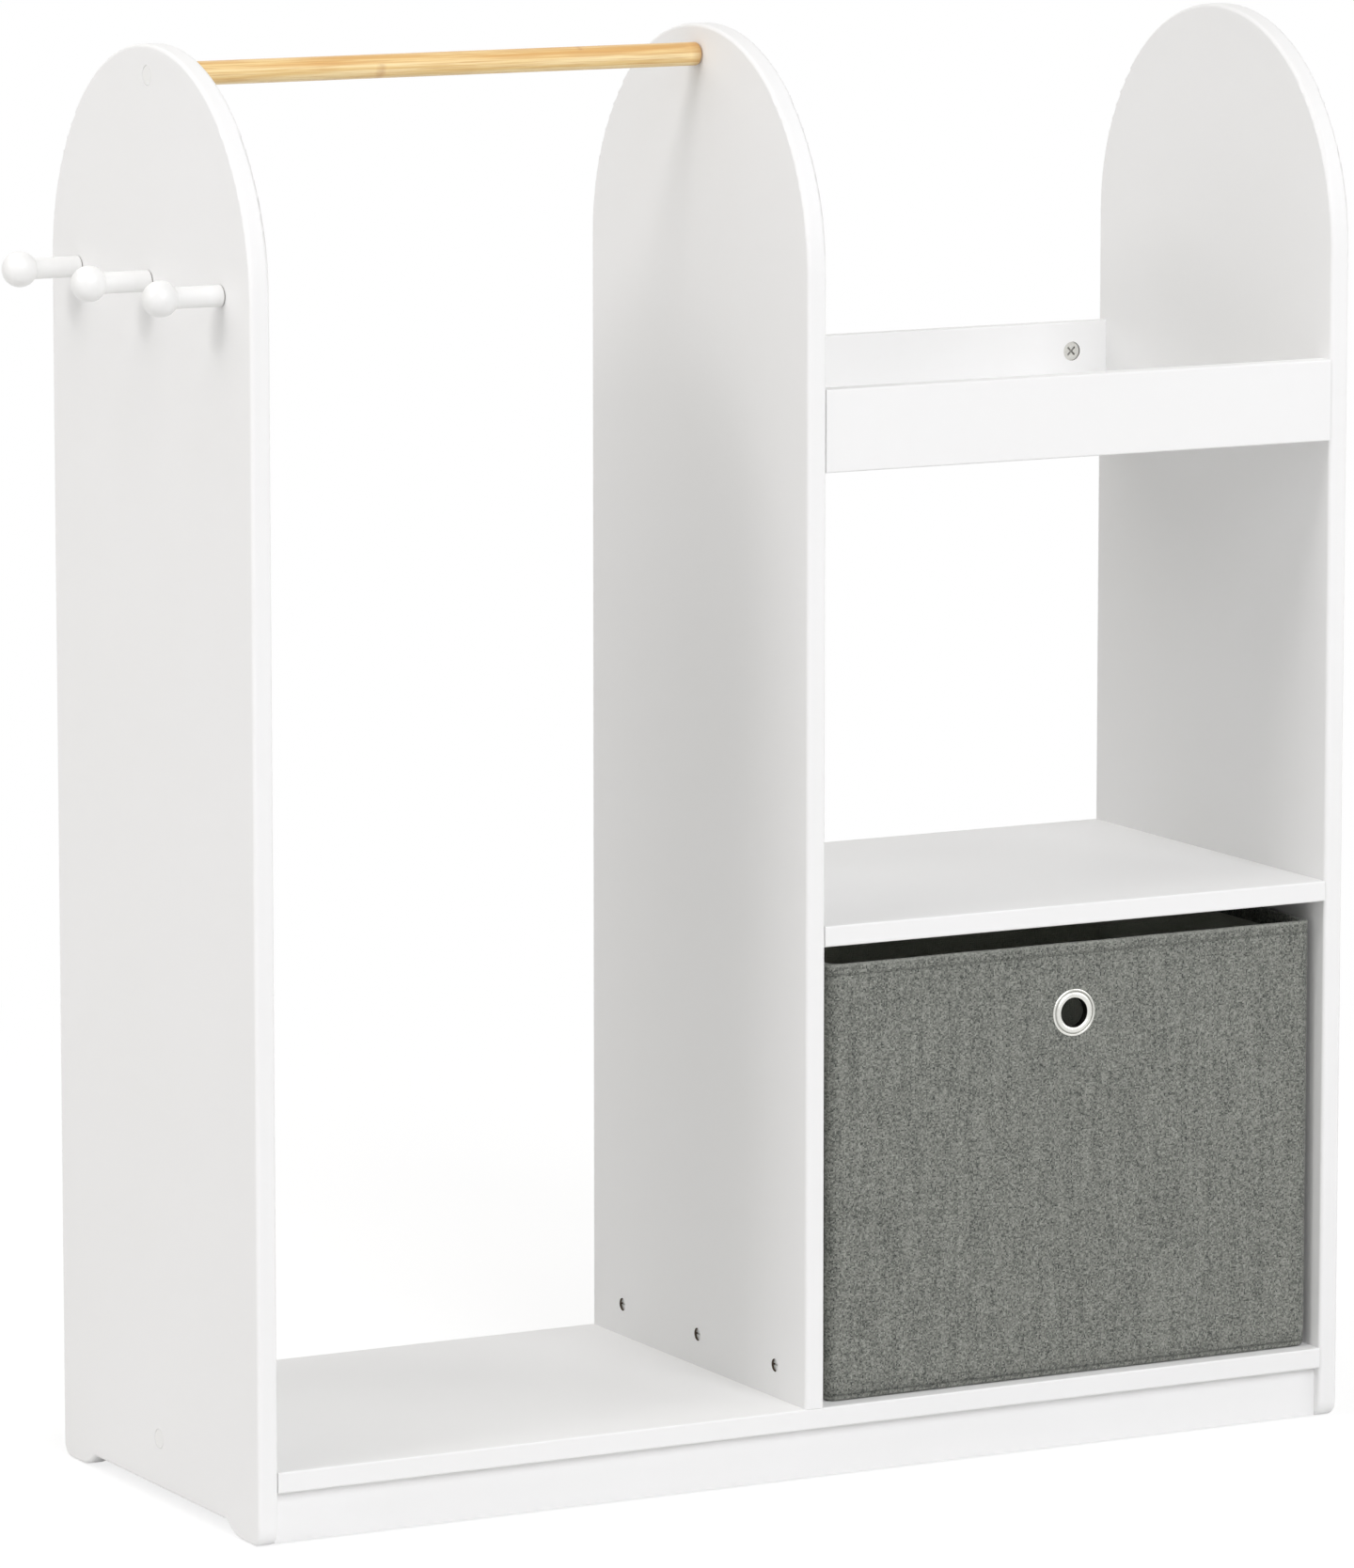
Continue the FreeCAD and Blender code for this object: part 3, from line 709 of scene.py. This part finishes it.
# %% [markdown]
# ## Hem and seams
# At the top the cloth is folded over the boards and sewn down, so it turns inwards over the rim and hangs
# a short way down inside. Extruding the rim's edges twice makes that fold, and a bevel rounds it. The
# hem's stitch line and the bottom seam are narrow grooves: the middle one of three close cuts is pressed
# in later.

# %% Fold the hem over the rim
wall = 0.0046
hem_inside = 0.012
rim_rounding = 0.0014
rim_segments = 3


def at_rim_height(point):
    """Whether a point is level with the top of the box."""
    return abs(point.z - box_high.z) < touching


def draw_in(verts, inset):
    """Moves a rim's vertices towards the middle by the same amount on every side."""
    for vert in verts:
        for axis in (0, 1):
            half = (box_high[axis] - box_low[axis]) / 2
            vert.co[axis] = box_middle[axis] + (vert.co[axis] - box_middle[axis]) * (half - inset) / half


outer_rim = open_edges(cover, at_rim_height)
folded = extrude_rim(cover, outer_rim)
draw_in(folded, wall)
inner_rim = open_edges(cover, at_rim_height)
hanging = extrude_rim(cover, inner_rim)
bmesh.ops.translate(cover, vec=(0, 0, -hem_inside), verts=hanging)
round_off(cover, outer_rim + inner_rim, rim_rounding, rim_segments)
bmesh.ops.recalc_face_normals(cover, faces=cover.faces)
print("hem folded", hem_inside * 1000, "mm down inside")

# %% [markdown]
# ## Soft walls
# Cloth over card is never dead flat: it stands a little proud between the edges, ripples gently and is
# drawn in at each seam. Each vertex of the outer walls moves outwards by a smooth sum of those effects,
# and hardly in, where the card is. The folded rim rises and falls by less than a millimetre, as the cloth
# was pulled more or less tight over the card.

# %% Let the walls swell and press the seams in
belly_height = 0.0007
ripple_height, ripples_to_metre = 0.0006, 14.0
crease_height, creases_to_metre = 0.0002, 45.0
eyelet_holds = 0.03
seam_depth = 0.0010
hem_groove = 0.0006
rim_height, rim_waves_to_metre = 0.0008, 22.0
rim_band = 0.0020
outer_skin = 0.0035
still_bottom = 0.004
steep = 0.7
wall_share = 0.02
edge_softness = 0.3


def swell(point):
    """How far a point of the outer wall stands proud, in metres."""
    share = Vector([(point[axis] - box_low[axis]) / (box_high[axis] - box_low[axis]) for axis in range(3)])
    across = share.x if min(abs(share.y), abs(1 - share.y)) < wall_share else share.y
    belly = math.sin(math.pi * min(max(across, 0), 1)) * math.sin(math.pi * min(max(share.z, 0), 1))
    ripple = 0.5 + 0.5 * noise.noise(point * ripples_to_metre)
    crease = 0.5 + 0.5 * noise.noise(point * creases_to_metre)
    free = belly ** edge_softness
    off_eyelet = 1 - math.exp(-((point - eyelet_middle).length / eyelet_holds) ** 2)
    return (belly_height * belly + ripple_height * ripple * free + crease_height * crease * free) * off_eyelet


def pressed(point):
    """How far a seam draws the wall in, in metres."""
    at_seam = seam_depth if abs(point.z - seam_z) < touching else 0
    at_hem = hem_groove if abs(point.z - hem_z) < touching else 0
    return at_seam + at_hem


def rim_rise(point):
    """How far the folded rim stands up, in metres."""
    level_place = Vector((point.x, point.y, 0.3))
    return rim_height * (0.5 + 0.5 * noise.noise(level_place * rim_waves_to_metre))


cover.normal_update()
moves = []
for vert in cover.verts:
    level = Vector((vert.normal.x, vert.normal.y, 0))
    depths = [abs(vert.co[axis] - side[axis]) for axis in (0, 1) for side in (box_low, box_high)]
    outer = min(depths) <= outer_skin
    if vert.co.z > box_high.z - rim_band:
        moves.append((vert, Z_AXIS * rim_rise(vert.co)))
    elif level.length > steep and outer and vert.co.z > box_low.z + still_bottom:
        moves.append((vert, level.normalized() * (swell(vert.co) - pressed(vert.co))))
for vert, move in moves:
    vert.co += move
print("moved", len(moves), "points, at most", round(max(move.length for _, move in moves) * 1000, 2), "mm")

# %% [markdown]
# ## A map for the weave
# The weave needs to know where it is on the cloth, so each face corner gets a place on a flat map in
# metres. Round the walls the first number is the way round the box, and the second is the height, which
# runs on over the rim and down inside.

# %% Lay the cloth out flat
floor_slope = 0.75
fold_share = 0.7
rim_share = 0.5


def way_round(point):
    """How far round the box a point is, from the middle of the front, in metres."""
    flat = point - box_middle
    half_x = (box_high.x - box_low.x) / 2 - corner_radius
    half_y = (box_high.y - box_low.y) / 2 - corner_radius
    corner = corner_radius * math.pi / 2
    if abs(flat.x) <= half_x:
        quarter = abs(flat.x)
    elif abs(flat.y) <= half_y:
        quarter = half_x + corner + (half_y - abs(flat.y))
    else:
        quarter = half_x + corner_radius * math.atan2(abs(flat.x) - half_x, abs(flat.y) - half_y)
    to_side = half_x + corner + half_y
    distance = quarter if flat.y < 0 else 2 * to_side - quarter
    return math.copysign(distance, flat.x)


whole_way = 2 * way_round(Vector((box_middle.x + 1e-9, box_high.y, box_middle.z)))


def lay_out_cloth(shell):
    """Adds the map of the cloth, in metres."""
    layer = shell.loops.layers.uv.new("cloth")
    for face in shell.faces:
        level = abs(face.normal.z) > floor_slope and face.calc_center_median().z < box_middle.z
        round_face = way_round(face.calc_center_median())
        for loop in face.loops:
            point = loop.vert.co
            if level:
                loop[layer].uv = (point.x, point.y)
                continue
            here = way_round(point)
            if here - round_face > whole_way / 2:
                here -= whole_way
            elif round_face - here > whole_way / 2:
                here += whole_way
            depth = min(point.x - box_low.x, box_high.x - point.x, point.y - box_low.y, box_high.y - point.y)
            inside = depth > wall * fold_share
            outer_height = point.z + max(depth, 0) * rim_share
            inner_height = 2 * box_high.z + depth - point.z
            loop[layer].uv = (here, inner_height if inside else outer_height)
    print("cloth laid out over", round(whole_way, 3), "m round the box")


lay_out_cloth(cover)

# %% [markdown]
# ## From shell to piece
# A piece gets its finish, a real thickness and the body it moves with.
# The Solidify modifier gives the thickness, inwards from the shell, so the outside stays where it was
# shaped. The operators leave points and faces in an order that can change from run to run, so they are
# sorted by their places first.

# %% The finished cover
cover_thickness = 0.0007


def put_in_order(shell):
    """Sorts points, edges and faces by their places, so that every run gives the same mesh."""
    for elements in (shell.verts, shell.edges, shell.faces):
        places = {element: [] for element in elements}
        for element, place in places.items():
            corners = [element] if isinstance(element, bmesh.types.BMVert) else element.verts
            place.extend(sorted(tuple(corner.co) for corner in corners))
        for number, element in enumerate(sorted(places, key=places.get)):
            element.index = number
        elements.sort()


def make_piece(name, shell, body, finish, thickness=None):
    """Turns a bmesh into a finished piece of the box, with a real thickness if one is given."""
    put_in_order(shell)
    mesh = bpy.data.meshes.new(name)
    shell.to_mesh(mesh)
    shell.free()
    mesh.shade_smooth()
    mesh.materials.append(finish)
    piece = bpy.data.objects.new(name, mesh)
    bpy.context.scene.collection.objects.link(piece)
    if thickness:
        cloth = piece.modifiers.new("cloth_thickness", "SOLIDIFY")
        cloth.thickness = thickness
        cloth.offset = -1
        cloth.use_even_offset = True
    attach(piece, body)
    print(name, "has", len(mesh.polygons), "faces")
    return piece


cover_piece = make_piece(
    "fabric_box_cover", cover, "fabric_box", finishes["grey_fabric"], cover_thickness
)
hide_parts("box_cover")

# %% [markdown]
# ## The lining
# Inside, a pale grey felted lining covers the boards and the floor, and its top edge is caught under the
# hem. It is a second, smaller tub that faces inwards, and it hangs a little slack between its edges.

# %% A tub of felt inside the cover
lining_inset = 0.0040
lining_tuck = 0.004
lining_thickness = 0.0005
lining_corner = 0.0044
lining_bottom = 0.003
lining_lift = 0.0007
lining_pitch = 0.012
first_cut = 0.004
slack_height = 0.0011
slacks_to_metre = 9.0
slack_share = 0.35
still_foot = 0.02
eyelet_holds_lining = 0.035
rim_holds = 0.03
lining_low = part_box("box_lining")[0]
lining_top = box_high.z - hem_inside + lining_tuck
tub_low = Vector((box_low.x + lining_inset, box_low.y + lining_inset, lining_low.z + lining_lift))
tub_high = Vector((box_high.x - lining_inset, box_high.y - lining_inset, lining_top))
lining = rounded_tub(tub_low, tub_high, lining_corner, lining_bottom)
cut_grid(lining, (tub_low.x, tub_low.y, tub_low.z + first_cut), tub_high, lining_pitch)
open_round_hole(lining, tub_low.y)
bmesh.ops.reverse_faces(lining, faces=lining.faces)
lining.normal_update()
for vert in lining.verts:
    level = Vector((vert.normal.x, vert.normal.y, 0))
    if level.length > steep and vert.co.z > tub_low.z + still_foot:
        from_eyelet = 1 - math.exp(-((vert.co - eyelet_middle).length / eyelet_holds_lining) ** 4)
        from_rim = min(1.0, (lining_top - vert.co.z) / rim_holds)
        slack = max(0, noise.noise(vert.co * slacks_to_metre) + slack_share) * slack_height
        vert.co += level.normalized() * slack * from_eyelet * from_rim
lay_out_cloth(lining)
lining_piece = make_piece(
    "fabric_box_lining", lining, "fabric_box", finishes["grey_lining"], lining_thickness
)
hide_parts("box_lining")

# %% [markdown]
# ## Stitches
# A machine has sewn the hem down with one row of stitches all the way round. Each stitch is a small
# flattened ball in the groove, and they are placed by walking round the rounded outline.

# %% Sew the hem
stitch_pitch = 0.0046
stitch_size = Vector((0.0034, 0.0005, 0.0008))
stitch_sunk = 0.0003


def walk_round(distance):
    """The point and the heading on the box's outline, this far round from the middle of the front."""
    half_x = (box_high.x - box_low.x) / 2 - corner_radius
    half_y = (box_high.y - box_low.y) / 2 - corner_radius
    here = Vector((box_middle.x, box_low.y, hem_z))
    heading = 0.0
    for straight in (half_x, 2 * half_y, 2 * half_x, 2 * half_y, half_x):
        ahead = min(distance, straight)
        here += Vector((math.cos(heading), math.sin(heading), 0)) * ahead
        turn = min((distance - ahead) / corner_radius, math.pi / 2)
        left_before = Vector((-math.sin(heading), math.cos(heading), 0))
        heading += turn
        left_after = Vector((-math.sin(heading), math.cos(heading), 0))
        here += (left_before - left_after) * corner_radius
        distance -= ahead + turn * corner_radius
        if distance <= 0:
            break
    return here, heading


stitch_count = round(whole_way / stitch_pitch)
stitches = bmesh.new()
for stitch in range(stitch_count):
    place, heading = walk_round(whole_way * (stitch + 0.5) / stitch_count)
    outward = Vector((math.sin(heading), -math.cos(heading), 0))
    place += outward * (swell(place) - stitch_sunk)
    made = bmesh.ops.create_uvsphere(stitches, u_segments=6, v_segments=4, radius=0.5)["verts"]
    bmesh.ops.scale(stitches, vec=stitch_size, verts=made)
    bmesh.ops.rotate(stitches, cent=(0, 0, 0), matrix=Matrix.Rotation(heading, 3, "Z"), verts=made)
    bmesh.ops.translate(stitches, vec=place, verts=made)
thread_finish = make_finish("sewing_thread", sewing_thread)
make_piece("fabric_box_hem_stitches", stitches, "fabric_box", thread_finish)
print(stitch_count, "stitches")

# %% [markdown]
# ## Floor and background
# The wardrobe stands on a plain white floor that keeps its shadow.
# What the camera sees, straight or in polished metal, is a floor lifted towards white,
# so that its shadows stay pale and it runs into the white background without a horizon.

# %% A pale floor
floor_reach = 40.0
floor_drop = 0.0006
shown_matt = (0.26, 0.26, 0.26, 1)
shown_glow = 0.80
fade_starts, fade_ends = 0.8, 2.0


def in_sight(start):
    """1 for rays that show the background: from the camera, or by way of metal or glass."""
    straight = start.node("LightPath", output="Is Camera Ray")
    mirrored = start.node("LightPath", output="Is Glossy Ray")
    through = start.node("LightPath", output="Is Transmission Ray")
    return start.maths("MAXIMUM", straight, start.maths("MAXIMUM", mirrored, through))


floor_grid = bmesh.new()
bmesh.ops.create_grid(floor_grid, x_segments=2, y_segments=2, size=floor_reach)
bmesh.ops.translate(floor_grid, vec=(0, 0, -floor_drop), verts=floor_grid.verts)
floor_mesh = bpy.data.meshes.new("floor")
floor_grid.to_mesh(floor_mesh)
floor_grid.free()
floor = bpy.data.objects.new("floor", floor_mesh)
bpy.context.scene.collection.objects.link(floor)
floor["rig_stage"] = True

floor_paint = bpy.data.materials.new("floor_paint")
floor_paint.use_nodes = True
floor_paint.node_tree.nodes.clear()
start = Wire(floor_paint.node_tree)
spot = start.node("TexCoord", output="Object")
away = start.node("VectorMath", {"operation": "LENGTH"}, {0: spot}, output="Value")
matt = start.node("BsdfDiffuse", inputs={"Color": tone(232, 232, 232)})
thin_matt = start.node("BsdfDiffuse", inputs={"Color": shown_matt})
glow = start.node("Emission", inputs={"Color": (1, 1, 1, 1), "Strength": shown_glow})
white = start.node("Emission", inputs={"Color": (1, 1, 1, 1), "Strength": 1.0})
lifted = start.node("AddShader", inputs={0: thin_matt, 1: glow})
shown = start.node("MixShader", inputs={0: spread(away, fade_starts, fade_ends), 1: lifted, 2: white})
floor_surface = start.node("MixShader", inputs={0: in_sight(start), 1: matt, 2: shown})
start.node("OutputMaterial", inputs={"Surface": floor_surface})
floor_mesh.materials.append(floor_paint)
print("floor", [round(side, 1) for side in floor.dimensions])

# %% [markdown]
# ## Light
# The studio light is soft and mostly even: a white room, a wide lamp far out in front, and large ones to
# the left, to the right, and high up at the left and behind. A lamp far away lights the top and the foot
# of the wardrobe alike. The small left lamp draws the round-topped shadow of one panel on the next, which
# says where everything stands. The lamps are a little warm or cool, as real ones are, and together they
# leave white white.

# %% White room and six lamps
lit_middle = Vector((0, 0, 0.6))
room_tint = (1.0, 0.985, 0.937, 1)
room_strength = 0.29
world = bpy.data.worlds.new("white_room")
bpy.context.scene.world = world
world.use_nodes = True
world.node_tree.nodes.clear()
start = Wire(world.node_tree)
room = start.node("Background", inputs={"Color": room_tint, "Strength": room_strength})
backdrop = start.node("Background", inputs={"Color": (1, 1, 1, 1), "Strength": 1.0})
sky = start.node("MixShader", inputs={0: in_sight(start), 1: room, 2: backdrop})
start.node("OutputWorld", inputs={"Surface": sky})


def add_lamp(name, direction, distance, size, watts, colour):
    """A square lamp this far out from the wardrobe's middle, turned towards it."""
    lamp = bpy.data.lights.new(name, "AREA")
    lamp.size = size
    lamp.energy = watts
    lamp.color = colour
    holder = bpy.data.objects.new(name, lamp)
    bpy.context.scene.collection.objects.link(holder)
    towards = Vector(direction).normalized()
    holder.location = lit_middle + towards * distance
    holder.rotation_euler = towards.to_track_quat("Z", "Y").to_euler()
    holder.visible_camera = False
    print(name, [round(part, 2) for part in holder.location], watts, "W")


add_lamp("front_lamp", (-0.05, -0.84, 0.545), 14.0, 7.3, 1025.0, (0.965, 0.967, 1.0))
add_lamp("left_lamp", (-0.86, 0.05, 0.50), 5.0, 3.0, 45.5, (1.0, 0.982, 0.986))
add_lamp("small_left_lamp", (-0.860, -0.126, 0.495), 6.0, 1.0, 38.0, (1.0, 0.985, 0.993))
add_lamp("high_left_lamp", (-0.6, -0.1, 0.8), 5.0, 3.0, 29.5, (1.0, 0.988, 0.984))
add_lamp("high_back_lamp", (-0.2, 0.65, 0.73), 5.0, 3.0, 44.5, (1.0, 0.978, 0.948))
add_lamp("right_lamp", (0.75, -0.55, 0.35), 5.0, 3.0, 42.5, (1.0, 1.0, 1.0))

# %% [markdown]
# ## Camera
# A long lens far away keeps the uprights nearly parallel, as in a catalogue picture.
# The place, the turn and the lens were worked out from the wardrobe's own edges.

# %% The catalogue view
camera_place = (-3.2212, -6.0349, 1.5824)
tilt_down, turn_right = 8.86, 28.13
long_lens = 206.57
camera_data = bpy.data.cameras.new("catalogue_camera")
camera_data.lens = long_lens
camera_data.sensor_width = 36.0
camera_data.clip_start = 0.1
camera_data.clip_end = 200.0
camera = bpy.data.objects.new("catalogue_camera", camera_data)
bpy.context.scene.collection.objects.link(camera)
camera.location = camera_place
camera.rotation_euler = (math.radians(90 - tilt_down), 0, math.radians(-turn_right))
bpy.context.scene.camera = camera
bpy.context.scene.view_settings.view_transform = "Standard"
print("camera at", [round(part, 3) for part in camera.location])

# %% [markdown]
# ## Measure and finish
# The dressed wardrobe must keep the CAD model's size, so both boxes are printed.

# %% Print both sizes
shown_low, shown_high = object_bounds()
for box_name, extent in (("CAD box", cad_high - cad_low), ("shown box", shown_high - shown_low)):
    print(box_name, [round(side, 4) for side in extent])
